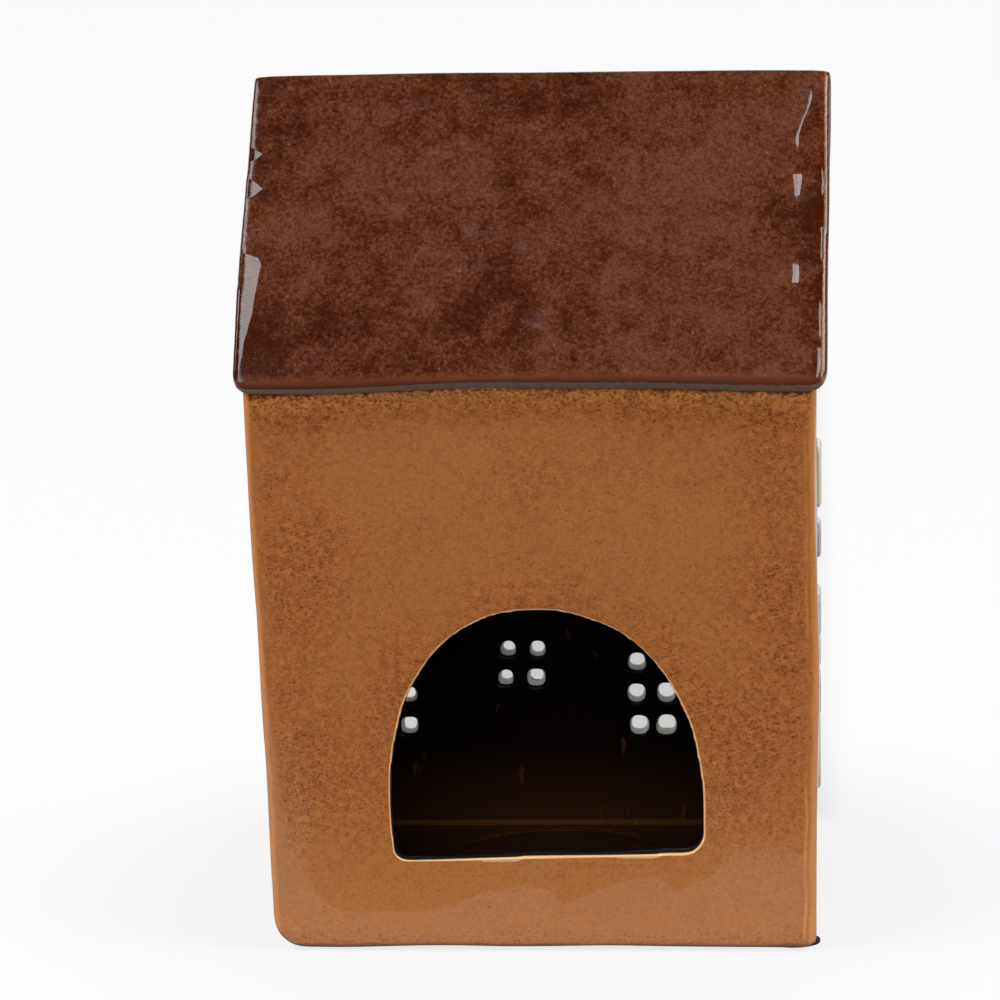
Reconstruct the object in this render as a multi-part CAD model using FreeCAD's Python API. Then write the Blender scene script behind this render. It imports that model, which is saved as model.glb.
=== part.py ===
import FreeCAD, Part
import math
import os
from FreeCAD import Vector

# A hand-built ceramic tealight house, in millimetres. The wall with the arch faces -Y,
# the street front with the door and windows faces +Y, and the pads stand on z = 0.
# Heights of clay pieces are counted from the clay foot, and saving lifts them onto the pads.

# Overall house
house_height = 200.0
body_depth = 90.0
wall_thickness = 4.5
floor_thickness = 4.0

# The walls lean a little: their width and their middle change at the foot, the shoulder and the ridge
foot_width = 127.4
shoulder_width = 131.2
shoulder_height = 133.0
foot_shift = 0.3
shoulder_shift = -0.75
ridge_shift = 0.75
left_foot_radius = 3.5
right_foot_radius = 1.6
wall_edge_radius = 1.8

# Roof slabs, cut square at the eave and mitred at the ridge. The eave's upper edge lies a little
# above the shoulder.
roof_depth = 100.0
roof_thickness = 4.8
eave_rise = 3.2
verge_overhang = 1.9
ridge_radius = 3.0
roof_corner_radius = 4.0
roof_edge_radius = 1.2

# Arched opening in the back wall, whose sill lies a little higher at its right end
arch_width = 72.8
arch_rise = 60.6
arch_middle = 1.5
sill_height = 21.2
sill_end_rise = 0.8
arch_left_corner_radius = 2.8
arch_right_corner_radius = 4.6
arch_rim_radius = 1.0
arch_inner_chamfer = 0.8
arch_arc_deviation = 0.25
# Each pair is a share of half the arch's width from its middle, and a share of its rise above the sill
arch_crown_shares = (
    (-1.0, 0.213), (-0.964, 0.487), (-0.835, 0.710), (-0.495, 0.929), (-0.052, 1.0),
    (0.321, 0.952), (0.610, 0.838), (0.885, 0.584), (0.968, 0.394), (1.0, 0.213),
)

# Candle seat sunk into the floor
seat_radius = 29.0
seat_depth = 1.0
seat_middle_x = 1.2
seat_middle_y = 9.5
seat_rim_chamfer = 0.5

# Street front: the middles of the windows, from the nearer edge of the wall at its narrower end.
# The door stands midway between them.
left_window_inset = 21.8
right_window_inset = 40.6

# Street front: door
door_leaf_width = 15.4
door_leaf_height = 47.0
door_leaf_thickness = 1.2
door_top_radius = 1.5
door_surround_width = 3.2
door_surround_thickness = 2.0
door_window_height = 46.5
door_window_columns = 2
door_window_rows = 2
door_pane_width = 4.0
door_pane_height = 4.1
door_pane_spacing_x = 7.5
door_pane_spacing_z = 7.3
door_panel_width = 11.0
door_panel_height = 12.6
door_panel_gap = 2.6
door_panel_count = 2
door_panel_relief = 0.6
door_panel_chamfer = 0.4
knob_radius = 1.0
knob_length = 2.4
knob_head_length = 1.6
knob_chamfer = 0.4
knob_neck_radius = 0.6
knob_inset = 1.2
knob_height = 22.6

# Street front: doorstep
doorstep_width = 25.0
doorstep_height = 5.2
doorstep_depth = 4.2
doorstep_edge_radius = 0.8

# Street front: windows, the upper ones counted down from the shoulder
ground_window_height = 38.4
upper_window_drop = 35.0
window_columns = 2
window_rows = 3
window_pane_size = 4.6
window_pane_spacing_x = 7.4
window_pane_spacing_z = 8.3
pane_corner_cut = 0.9
frame_border = 2.9
frame_thickness = 1.8
frame_bar_thickness = 1.1
frame_rim_width = 1.5
frame_corner_radius = 1.2
window_sill_overhang = 1.6
window_sill_height = 2.6
window_sill_depth = 3.0
window_sill_edge_radius = 0.7

# Fieldstones round the two front corners: height of the lower bed, height of the stone,
# its reach along the front and its reach along the gable, from the foot up
stone_relief = 1.4
stone_end_clip = 1.8
stone_chamfer = 0.7
corner_stones = (
    (14.0, 19.4, 10.6, 9.0),
    (34.4, 9.8, 8.5, 13.0),
    (45.4, 7.8, 12.0, 8.0),
    (54.4, 11.2, 9.0, 12.0),
    (73.6, 9.2, 12.0, 8.5),
    (87.2, 15.8, 9.5, 12.5),
)

# Pads stuck under the corners: each pair is the inset of a pad's middle from the foot's corner
pad_radius = 6.5
pad_thickness = 0.8
back_right_pad_inset = (5.5, 6.4)
back_left_pad_inset = (10.0, 12.4)
front_right_pad_inset = (7.4, 7.0)
front_left_pad_inset = (9.4, 8.2)

# How far a cutting tool runs past what it cuts, how near two places count as the same,
# and how far in degrees an edge may turn from an axis and still run along it
overrun = 5.0
near = 0.01
turn_tolerance = 10.0

back_y = -body_depth / 2
front_y = body_depth / 2
inner_back_y = back_y + wall_thickness
inner_front_y = front_y - wall_thickness
left = -1
right = 1

# The roof's pitch follows from its eave edge, its depth and its rounded ridge
eave_edge_height = shoulder_height + eave_rise
eave_y = roof_depth / 2
ridge_centre_height = house_height - ridge_radius
ridge_rise = ridge_centre_height - eave_edge_height
pitch = math.atan2(ridge_rise, eave_y) + math.asin(ridge_radius / math.hypot(ridge_rise, eave_y))
outer_apex_height = eave_edge_height + eave_y * math.tan(pitch)
inner_apex_height = outer_apex_height - roof_thickness / math.cos(pitch)

# The windows keep their insets from the narrower end of the wall, its foot or its shoulder
left_edge = max(foot_shift - foot_width / 2, shoulder_shift - shoulder_width / 2)
right_edge = min(foot_shift + foot_width / 2, shoulder_shift + shoulder_width / 2)
left_window_middle = left_edge + left_window_inset
right_window_middle = right_edge - right_window_inset
door_middle = (left_window_middle + right_window_middle) / 2
upper_window_height = shoulder_height - upper_window_drop


def prism_along_y(points, low, high):
    """A solid with an outline of (x, z) points, from y = low to y = high."""
    corners = [Vector(x, low, z) for x, z in points]
    face = Part.Face(Part.makePolygon(corners + corners[:1]))
    return face.extrude(Vector(0, high - low, 0))


def prism_along_x(points, low, high):
    """A solid with an outline of (y, z) points, from x = low to x = high."""
    corners = [Vector(low, y, z) for y, z in points]
    face = Part.Face(Part.makePolygon(corners + corners[:1]))
    return face.extrude(Vector(high - low, 0, 0))


def block(low, high):
    """A box between two opposite corners."""
    size = Vector(*high) - Vector(*low)
    return Part.makeBox(size.x, size.y, size.z, Vector(*low))


def is_near(value, target):
    return abs(value - target) < near


def runs_along(edge, axis):
    """Whether an edge runs along x (0), y (1) or z (2), or nearly so."""
    ends = edge.lastVertex().Point - edge.firstVertex().Point
    return edge.Length > near and abs(ends[axis]) > edge.Length * math.cos(math.radians(turn_tolerance))


def rounded(shape, radius, choose):
    """The shape with a fillet on every edge that choose(edge) picks."""
    return shape.makeFillet(radius, [edge for edge in shape.Edges if choose(edge)])


def chamfered(shape, size, choose):
    """The shape with a chamfer on every edge that choose(edge) picks."""
    return shape.makeChamfer(size, [edge for edge in shape.Edges if choose(edge)])


def middle_at(height):
    """Where the middle of the leaning house lies at a height."""
    if height < shoulder_height:
        return foot_shift + (shoulder_shift - foot_shift) * height / shoulder_height
    share = (height - shoulder_height) / (house_height - shoulder_height)
    return shoulder_shift + (ridge_shift - shoulder_shift) * share


def half_width_at(height):
    """Half the width over the walls at a height."""
    share = min(height / shoulder_height, 1)
    return (foot_width + (shoulder_width - foot_width) * share) / 2


def side_x(side, height, inset=0):
    """The outer face of a gable wall at a height, or a plane inside it."""
    return middle_at(height) + side * (half_width_at(height) - inset)


def side_line(side, inset=0):
    """A gable wall's line from the foot to the ridge, as (x, z) points."""
    return [(side_x(side, z, inset), z) for z in (0, shoulder_height, house_height)]


def under_roof(shape):
    """The shape cut off at the underside of the roof."""
    reach = body_depth
    foot = inner_apex_height - reach * math.tan(pitch)
    points = [(-reach, foot), (0, inner_apex_height), (reach, foot)]
    points += [(reach, house_height + overrun), (-reach, house_height + overrun)]
    return shape.cut(prism_along_x(points, -shoulder_width, shoulder_width))


def foot_edge(side):
    """Picks the edge along y at the foot of one side."""
    x = side_x(side, 0)

    def choose(edge):
        place = edge.CenterOfMass
        return runs_along(edge, 1) and is_near(place.z, 0) and is_near(place.x, x)
    return choose


def long_wall(low, high, outer_y):
    """A full-width wall with its foot corners and outer edges rounded."""
    outline = side_line(left) + side_line(right)[::-1]
    wall = under_roof(prism_along_y(outline, low, high))
    wall = rounded(wall, left_foot_radius, foot_edge(left))
    wall = rounded(wall, right_foot_radius, foot_edge(right))

    def outer_edge(edge):
        box = edge.BoundBox
        on_face = is_near(box.YMin, outer_y) and is_near(box.YMax, outer_y)
        return on_face and edge.CenterOfMass.z < shoulder_height
    return rounded(wall, wall_edge_radius, outer_edge)


def gable_wall(side):
    """A side wall that stands between the long walls and rises to the ridge."""
    outline = side_line(side) + side_line(side, wall_thickness)[::-1]
    wall = under_roof(prism_along_y(outline, inner_back_y, inner_front_y))
    return rounded(wall, foot_radius(side), foot_edge(side))


def foot_radius(side):
    return left_foot_radius if side == left else right_foot_radius


def arch_point(share_x, share_z):
    """A point of the arch from its shares, on the tilted sill."""
    x = arch_middle + share_x * arch_width / 2
    return x, sill_height + share_z * arch_rise + sill_end_rise * (1 - share_z) * (share_x + 1) / 2


def arch_tool():
    """The solid that the arch takes out of the back wall: a crown of tangent arcs on straight sides."""
    low = back_y - overrun
    crown = [Vector(x, low, z) for x, z in (arch_point(*share) for share in arch_crown_shares)]
    curve = Part.BSplineCurve()
    curve.interpolate(crown, InitialTangent=Vector(0, 0, 1), FinalTangent=Vector(0, 0, -1))
    arcs = [arc.toShape() for arc in curve.toBiArcs(arch_arc_deviation)]
    sill_left, sill_right = [Vector(x, low, z) for x, z in (arch_point(-1, 0), arch_point(1, 0))]
    sides = Part.makePolygon([crown[-1], sill_right, sill_left, crown[0]])
    outline = Part.Wire(Part.__sortEdges__(arcs + sides.Edges))
    tool = Part.Face(outline).extrude(Vector(0, wall_thickness + overrun * 2, 0))

    def corner(point):
        def choose(edge):
            place = edge.CenterOfMass
            return runs_along(edge, 1) and is_near(place.x, point.x) and is_near(place.z, point.z)
        return choose
    tool = rounded(tool, arch_left_corner_radius, corner(sill_left))
    return rounded(tool, arch_right_corner_radius, corner(sill_right))


def back_wall():
    """The wall with the arch that the candle goes in through."""
    wall = long_wall(back_y, inner_back_y, back_y).cut(arch_tool())
    reach = arch_width / 2 + arch_rim_radius
    top = sill_height + arch_rise + arch_rim_radius

    def rim(y):
        def choose(edge):
            box = edge.BoundBox
            in_plane = is_near(box.YMin, y) and is_near(box.YMax, y)
            inside = abs(edge.CenterOfMass.x - arch_middle) < reach and edge.CenterOfMass.z < top
            return in_plane and inside and box.ZMin > sill_height - arch_rim_radius
        return choose
    wall = rounded(wall, arch_rim_radius, rim(back_y))
    return chamfered(wall, arch_inner_chamfer, rim(inner_back_y))


def pane_tool(x, z, width, height):
    """A square with clipped corners that pierces the street front and what is laid on it."""
    low = (x - width / 2, inner_front_y - overrun, z - height / 2)
    high = (x + width / 2, front_y + overrun, z + height / 2)
    return chamfered(block(low, high), pane_corner_cut, lambda edge: runs_along(edge, 1))


def pane_grid(x, z, columns, rows, width, height, spacing_x, spacing_z):
    """The tools for one window's panes, in rows and columns round its middle."""
    tools = []
    for column in range(columns):
        for row in range(rows):
            pane_x = x + (column - (columns - 1) / 2) * spacing_x
            pane_z = z + (row - (rows - 1) / 2) * spacing_z
            tools.append(pane_tool(pane_x, pane_z, width, height))
    return tools


def window_panes(x, z):
    return pane_grid(x, z, window_columns, window_rows, window_pane_size, window_pane_size,
                     window_pane_spacing_x, window_pane_spacing_z)


def door_panes():
    return pane_grid(door_middle, door_window_height, door_window_columns, door_window_rows,
                     door_pane_width, door_pane_height, door_pane_spacing_x, door_pane_spacing_z)


def front_wall(windows):
    """The street front, pierced by the panes of the door and the windows."""
    wall = long_wall(inner_front_y, front_y, front_y)
    tools = door_panes()
    for x, z in windows:
        tools += window_panes(x, z)
    return wall.cut(tools)


def floor_slab():
    """The floor between the walls, with the sunk seat for the candle."""
    left_line = [(side_x(left, z, wall_thickness), z) for z in (0, floor_thickness)]
    right_line = [(side_x(right, z, wall_thickness), z) for z in (0, floor_thickness)]
    slab = prism_along_y(left_line + right_line[::-1], inner_back_y, inner_front_y)
    seat_floor = Vector(seat_middle_x, seat_middle_y, floor_thickness - seat_depth)
    slab = slab.cut(Part.makeCylinder(seat_radius, seat_depth + overrun, seat_floor))

    def rim(edge):
        box = edge.BoundBox
        return is_near(box.ZMin, floor_thickness) and is_near(edge.Length, math.tau * seat_radius)
    return chamfered(slab, seat_rim_chamfer, rim)


def eave_point(depth):
    """A point (y, z) of the back slope's square-cut eave, at a depth under its outer edge."""
    return -eave_y + depth * math.sin(pitch), eave_edge_height - depth * math.cos(pitch)


def back_slope():
    """The roof slab over the arched wall, trimmed to the leaning verges."""
    reach = shoulder_width

    def at(y, z):
        return Vector(-reach, y, z)

    def on_ridge(turn):
        return at(-ridge_radius * math.sin(turn), ridge_centre_height + ridge_radius * math.cos(turn))
    tangent = on_ridge(pitch)
    top = on_ridge(0)
    bend = Part.Arc(tangent, on_ridge(pitch / 2), top)
    mitre_foot = at(0, inner_apex_height)
    sides = Part.makePolygon([top, mitre_foot, at(*eave_point(roof_thickness)), at(*eave_point(0)), tangent])
    slab = Part.Face(Part.Wire([bend.toShape()] + sides.Edges)).extrude(Vector(reach * 2, 0, 0))
    between = prism_along_y(verge_line(left) + verge_line(right)[::-1], -roof_depth, overrun)
    slab = slab.common(between)

    def eave_corner(edge):
        place = edge.CenterOfMass
        y, z = eave_point(roof_thickness / 2)
        return is_near(place.y, y) and is_near(place.z, z)
    slab = rounded(slab, roof_corner_radius, eave_corner)

    def outer_edge(edge):
        middle = edge.valueAt((edge.FirstParameter + edge.LastParameter) / 2)
        on_slope = is_near(middle.z, outer_apex_height + middle.y * math.tan(pitch))
        return on_slope and middle.y < tangent.y - near
    return rounded(slab, roof_edge_radius, outer_edge)


def verge_line(side):
    """The line of a verge, straight from below the eave to the ridge, as (x, z) points."""
    under_eave = eave_edge_height - roof_thickness
    heights = (0, under_eave, house_height)
    return [(side_x(side, max(z, under_eave), -verge_overhang), z) for z in heights]


def front_slope(slab):
    """The roof slab over the street front: the back slab turned over the ridge."""
    return slab.mirror(Vector(0, 0, 0), Vector(0, 1, 0))


def plate(x, low_z, width, height, thickness, corner_radius):
    """A flat piece laid on the street front, with rounded corners."""
    low = (x - width / 2, front_y, low_z)
    high = (x + width / 2, front_y + thickness, low_z + height)
    return rounded(block(low, high), corner_radius, lambda edge: runs_along(edge, 1))


def front_door():
    """The door leaf with two raised panels, pierced by its four panes."""
    leaf = plate(door_middle, doorstep_height, door_leaf_width, door_leaf_height, door_leaf_thickness,
                 door_top_radius)
    for row in range(door_panel_count):
        panel_z = doorstep_height + door_panel_gap + row * (door_panel_height + door_panel_gap)
        raised = plate(door_middle, panel_z, door_panel_width, door_panel_height,
                       door_leaf_thickness + door_panel_relief, door_panel_gap / 2)
        outer = front_y + door_leaf_thickness + door_panel_relief
        raised = chamfered(raised, door_panel_chamfer, lambda edge: edge.BoundBox.YMin > outer - near)
        leaf = leaf.fuse(raised)
    return leaf.removeSplitter().cut(door_panes())


def door_surround():
    """The raised frame round the door's sides and head."""
    width = door_leaf_width + door_surround_width * 2
    height = door_leaf_height + door_surround_width
    frame = plate(door_middle, doorstep_height, width, height, door_surround_thickness, door_top_radius)
    low = (door_middle - door_leaf_width / 2, front_y - overrun, doorstep_height - overrun)
    high = (door_middle + door_leaf_width / 2, front_y + overrun, doorstep_height + door_leaf_height)
    return frame.cut(block(low, high))


def door_knob():
    """A turned knob: a profile of (radius, y) points, revolved, whose neck stands on the door leaf."""
    x = door_middle + door_leaf_width / 2 - knob_inset
    base = front_y + door_leaf_thickness
    top = base + knob_length
    head = top - knob_head_length
    profile = [(0, base), (knob_neck_radius, base), (knob_neck_radius, head),
               (knob_radius, head + knob_chamfer), (knob_radius, top - knob_chamfer),
               (knob_radius - knob_chamfer, top), (0, top)]
    corners = [Vector(x + radius, y, knob_height) for radius, y in profile]
    face = Part.Face(Part.makePolygon(corners + corners[:1]))
    return face.revolve(Vector(x, base, knob_height), Vector(0, 1, 0), math.degrees(math.tau))


def doorstep():
    """The slab in front of the door."""
    low = (door_middle - doorstep_width / 2, front_y, 0)
    high = (door_middle + doorstep_width / 2, front_y + doorstep_depth, doorstep_height)
    outer = front_y + doorstep_depth

    def outer_edge(edge):
        return edge.BoundBox.YMin > outer - near and edge.CenterOfMass.z > near
    return rounded(block(low, high), doorstep_edge_radius, outer_edge)


def frame_width():
    return window_pane_spacing_x * (window_columns - 1) + window_pane_size + frame_border * 2


def frame_height():
    return window_pane_spacing_z * (window_rows - 1) + window_pane_size + frame_border * 2


def window_frame(x, z):
    """A frame with a raised rim and lower glazing bars between its panes."""
    low_z = z - frame_height() / 2
    frame = plate(x, low_z, frame_width(), frame_height(), frame_thickness, frame_corner_radius)
    width = frame_width() - frame_rim_width * 2
    height = frame_height() - frame_rim_width * 2
    field = plate(x, low_z + frame_rim_width, width, height, overrun, frame_corner_radius / 2)
    field.translate(Vector(0, frame_bar_thickness, 0))
    return frame.cut([field] + window_panes(x, z))


def window_sill(x, z):
    """The sill under a window frame."""
    half = frame_width() / 2 + window_sill_overhang
    top = z - frame_height() / 2
    outer = front_y + window_sill_depth
    sill = block((x - half, front_y, top - window_sill_height), (x + half, outer, top))
    return rounded(sill, window_sill_edge_radius, lambda edge: edge.BoundBox.YMin > outer - near)


def corner_stone(side, bed, height, front_reach, gable_reach, house):
    """One fieldstone that wraps a front corner and lies on both walls of the house."""
    corner = side_x(side, bed + height / 2)
    outer_x = corner + side * stone_relief
    inner_x = corner - side * front_reach
    far_y = front_y - gable_reach
    outer_y = front_y + stone_relief
    stone = block((min(inner_x, outer_x), far_y, bed), (max(inner_x, outer_x), outer_y, bed + height))

    def end_edge(edge):
        place = edge.CenterOfMass
        on_front = runs_along(edge, 1) and is_near(place.x, inner_x)
        return on_front or (runs_along(edge, 0) and is_near(place.y, far_y))

    def face_edge(edge):
        box = edge.BoundBox
        on_front = box.YMin > outer_y - near
        return on_front or (box.XLength < near and is_near(box.XMin, outer_x))
    stone = chamfered(stone, stone_end_clip, end_edge)
    return chamfered(stone, stone_chamfer, face_edge).cut(house)


def corner_stone_group(side, walls):
    """All fieldstones of one front corner, as separate solids."""
    inner_lines = side_line(left, wall_thickness) + side_line(right, wall_thickness)[::-1]
    house = walls + [prism_along_y(inner_lines, inner_back_y, inner_front_y)]
    return Part.makeCompound([corner_stone(side, *sizes, house) for sizes in corner_stones])


def pad(side, end_y, inset):
    """A thin round pad under one corner, reaching up to the clay foot."""
    x = side_x(side, 0) - side * inset[0]
    y = end_y - math.copysign(inset[1], end_y)
    return Part.makeCylinder(pad_radius, pad_thickness, Vector(x, y, 0))


def save(name, shape):
    shape.exportStep("parts/" + name + ".step")


def save_clay(name, shape):
    """Saves a clay piece, lifted from the foot's level onto the pads."""
    save(name, shape.translated(Vector(0, 0, pad_thickness)))


def main():
    os.makedirs("parts", exist_ok=True)
    windows = {
        "ground_left": (left_window_middle, ground_window_height),
        "ground_right": (right_window_middle, ground_window_height),
        "upper_left": (left_window_middle, upper_window_height),
        "upper_right": (right_window_middle, upper_window_height),
    }
    street_wall = front_wall(windows.values())
    gables = {left: gable_wall(left), right: gable_wall(right)}
    slab = back_slope()
    save_clay("back_wall", back_wall())
    save_clay("front_wall", street_wall)
    save_clay("left_gable_wall", gables[left])
    save_clay("right_gable_wall", gables[right])
    save_clay("floor_slab", floor_slab())
    save_clay("back_roof_slope", slab)
    save_clay("front_roof_slope", front_slope(slab))
    save_clay("front_door", front_door())
    save_clay("door_surround", door_surround())
    save_clay("door_knob", door_knob())
    save_clay("doorstep", doorstep())
    for name, (x, z) in windows.items():
        save_clay(name + "_window_frame", window_frame(x, z))
        save_clay(name + "_window_sill", window_sill(x, z))
    save_clay("left_corner_stones", corner_stone_group(left, [street_wall, gables[left]]))
    save_clay("right_corner_stones", corner_stone_group(right, [street_wall, gables[right]]))
    save("back_left_pad", pad(left, back_y, back_left_pad_inset))
    save("back_right_pad", pad(right, back_y, back_right_pad_inset))
    save("front_left_pad", pad(left, front_y, front_left_pad_inset))
    save("front_right_pad", pad(right, front_y, front_right_pad_inset))


main()
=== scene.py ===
import functools
import math
import random

import bpy
from mathutils import Matrix, Vector, kdtree


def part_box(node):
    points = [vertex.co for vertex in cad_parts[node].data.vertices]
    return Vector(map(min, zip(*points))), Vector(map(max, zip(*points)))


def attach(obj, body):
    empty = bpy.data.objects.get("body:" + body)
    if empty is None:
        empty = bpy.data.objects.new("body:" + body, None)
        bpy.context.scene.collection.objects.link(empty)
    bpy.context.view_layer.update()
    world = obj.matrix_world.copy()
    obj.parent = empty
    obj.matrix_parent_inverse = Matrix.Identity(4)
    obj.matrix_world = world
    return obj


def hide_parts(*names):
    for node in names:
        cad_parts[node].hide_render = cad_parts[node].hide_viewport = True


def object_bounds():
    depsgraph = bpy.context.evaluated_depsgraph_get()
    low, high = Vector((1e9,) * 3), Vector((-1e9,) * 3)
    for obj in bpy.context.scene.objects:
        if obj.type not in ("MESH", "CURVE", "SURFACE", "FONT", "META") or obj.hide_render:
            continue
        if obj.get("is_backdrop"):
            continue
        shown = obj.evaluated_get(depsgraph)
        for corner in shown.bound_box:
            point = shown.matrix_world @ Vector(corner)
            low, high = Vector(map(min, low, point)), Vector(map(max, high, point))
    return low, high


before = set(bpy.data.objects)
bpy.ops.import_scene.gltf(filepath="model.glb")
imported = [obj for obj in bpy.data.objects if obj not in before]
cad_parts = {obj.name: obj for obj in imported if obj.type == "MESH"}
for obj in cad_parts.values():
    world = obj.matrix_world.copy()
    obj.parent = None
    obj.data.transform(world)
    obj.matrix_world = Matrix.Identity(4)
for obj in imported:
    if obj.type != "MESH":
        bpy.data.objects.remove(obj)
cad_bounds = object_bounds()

bl_info = {
    "name": "Tealight House",
    "version": (1, 0, 0),
    "blender": (4, 5, 0),
    "location": "View3D > Sidebar > Tealight House",
    "description": "Models and glazes a hand-built ceramic house for a tealight, on its CAD frame",
    "category": "Add Mesh",
}

# Everything is in metres in the CAD's frame, and MM turns millimetres into metres.
# The wall with the arch faces -Y, the street front faces +Y, and the pads stand on z = 0.
MM = 0.001
LEFT = -1
RIGHT = 1
# From the first angle on an edge is sharp and gets rounded, and up to the second it is shaded smooth
SHARP = math.radians(60)
SMOOTH_UP_TO = math.radians(40)

# Faces of the clay, read from the frame
FOOT_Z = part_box("back_wall")[0].z
BACK_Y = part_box("back_wall")[0].y
INNER_BACK_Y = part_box("back_wall")[1].y
FRONT_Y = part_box("front_wall")[1].y
INNER_FRONT_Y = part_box("front_wall")[0].y
WALL_THICKNESS = INNER_BACK_Y - BACK_Y
FLOOR_TOP_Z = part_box("floor_slab")[1].z
GABLE_TOP_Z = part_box("left_gable_wall")[1].z
ROOF_BACK_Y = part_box("back_roof_slope")[0].y
ROOF_FRONT_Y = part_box("front_roof_slope")[1].y


def from_hex(code):
    """The linear colour of an sRGB hex value."""
    values = [int(code[i:i + 2], 16) / 255 for i in (1, 3, 5)]
    return tuple(v / 12.92 if v <= 0.04045 else ((v + 0.055) / 1.055) ** 2.4 for v in values)


def number(name, description, default, **more):
    """A property that holds a number."""
    return bpy.props.FloatProperty(name=name, description=description, default=default, **more)


def length(name, description, millimetres):
    """A property that holds a length in metres, given in millimetres."""
    return number(name, description, millimetres * MM, unit="LENGTH", precision=5)


def angle(name, description, degrees):
    """A property that holds an angle, given in degrees."""
    return number(name, description, math.radians(degrees), subtype="ANGLE")


def count(name, description, default):
    """A property that holds a number of rounds."""
    return bpy.props.IntProperty(name=name, description=description, default=default, min=1)


def colour(name, description, code):
    """A property that holds a colour, given as an sRGB hex value."""
    return bpy.props.FloatVectorProperty(name=name, description=description, default=(*from_hex(code), 1.0),
                                         subtype="COLOR", min=0, max=1, size=4)


class WallSizes(bpy.types.PropertyGroup):
    """The leaning walls and what is cut through them"""
    foot_left: length("Foot, left", "Left end of the foot", -63.4)
    foot_right: length("Foot, right", "Right end of the foot", 64.0)
    shoulder_left: length("Shoulder, left", "Left end of the wall under the eave", -66.4)
    shoulder_right: length("Shoulder, right", "Right end of the wall under the eave", 65.0)
    ridge_left: length("Ridge, left", "Left gable's outer face at its top", -65.0)
    ridge_right: length("Ridge, right", "Right gable's outer face at its top", 66.2)
    shoulder: length("Shoulder", "Height of the wall's outer face under the eave", 135.7)
    edge_radius: length("Edge radius", "Rounding of the outer corners and the foot", 1.5)
    foot_left_radius: length("Foot corner, left", "Rounding of the foot's left corner", 7.2)
    foot_right_radius: length("Foot corner, right", "Rounding of the foot's right corner", 2.4)
    arch_width: length("Arch width", "Width of the arched opening", 72.8)
    arch_rise: length("Arch rise", "Height of the arch over its sill", 60.3)
    arch_middle: length("Arch middle", "Middle of the arch", 1.5)
    sill: length("Sill", "Height of the arch's sill", 22.55)
    sill_end_rise: length("Sill rise", "How much higher the sill's right end lies", 1.7)
    sill_left_radius: length("Sill corner, left", "Rounding of the sill's left corner", 2.8)
    sill_right_radius: length("Sill corner, right", "Rounding of the sill's right corner", 4.6)
    clay_grain: length("Clay grain", "Size of the cells that the clay is remeshed with", 0.75)
    swell: length("Swell", "How far the hand-rolled slabs swell and sink", 0.9)
    swell_size: length("Swell size", "Length of one swell of the slabs", 34.0)


class RoofSizes(bpy.types.PropertyGroup):
    """The folded roof slab"""
    eave_left: length("Eave, left", "Left end of the eaves", -68.9)
    eave_right: length("Eave, right", "Right end of the eaves", 66.8)
    ridge_left: length("Ridge, left", "Left end of the ridge", -66.8)
    ridge_right: length("Ridge, right", "Right end of the ridge", 68.3)
    eave: length("Eave", "Height of the eaves' upper edge", 137.0)
    apex: length("Apex", "Where the two outer faces would meet", 202.8)
    thickness: length("Thickness", "Thickness of the slab", 4.8)
    corner_radius: length("Corner radius", "Rounding of the slab's corners at the eaves", 3.6)
    ridge_radius: length("Ridge radius", "Rounding of the fold", 3.0)
    edge_roll: length("Edge roll", "How far the slab's edges are rounded", 0.4)
    left_roll: count("Left roll", "How often the left verge is sponged", 10)
    right_roll: count("Right roll", "How often the right verge is sponged", 12)
    sponge: length("Sponge", "How far in from a verge the sponge reaches", 4.0)
    eave_bow: length("Eave bow", "How much the eave rises between its ends", 1.9)
    verge_bow: length("Verge bow", "How much the verges bulge between eave and ridge", 0.8)


class TrimSizes(bpy.types.PropertyGroup):
    """The relief on the street front"""
    clay_grain: length("Clay grain", "Size of the cells that the relief is remeshed with", 0.4)
    embed: length("Embed", "How far the relief is pressed into the wall", 0.5)
    pane: length("Window pane", "Side of a pane in a window", 4.2)
    door_pane: length("Door pane", "Side of a pane in the door", 4.0)
    pane_corner: length("Pane corner", "Rounding of a pane's corners", 0.4)
    pane_narrowing: number("Pane narrowing", "Share by which a pane narrows through the wall", 0.24, min=0)


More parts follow.
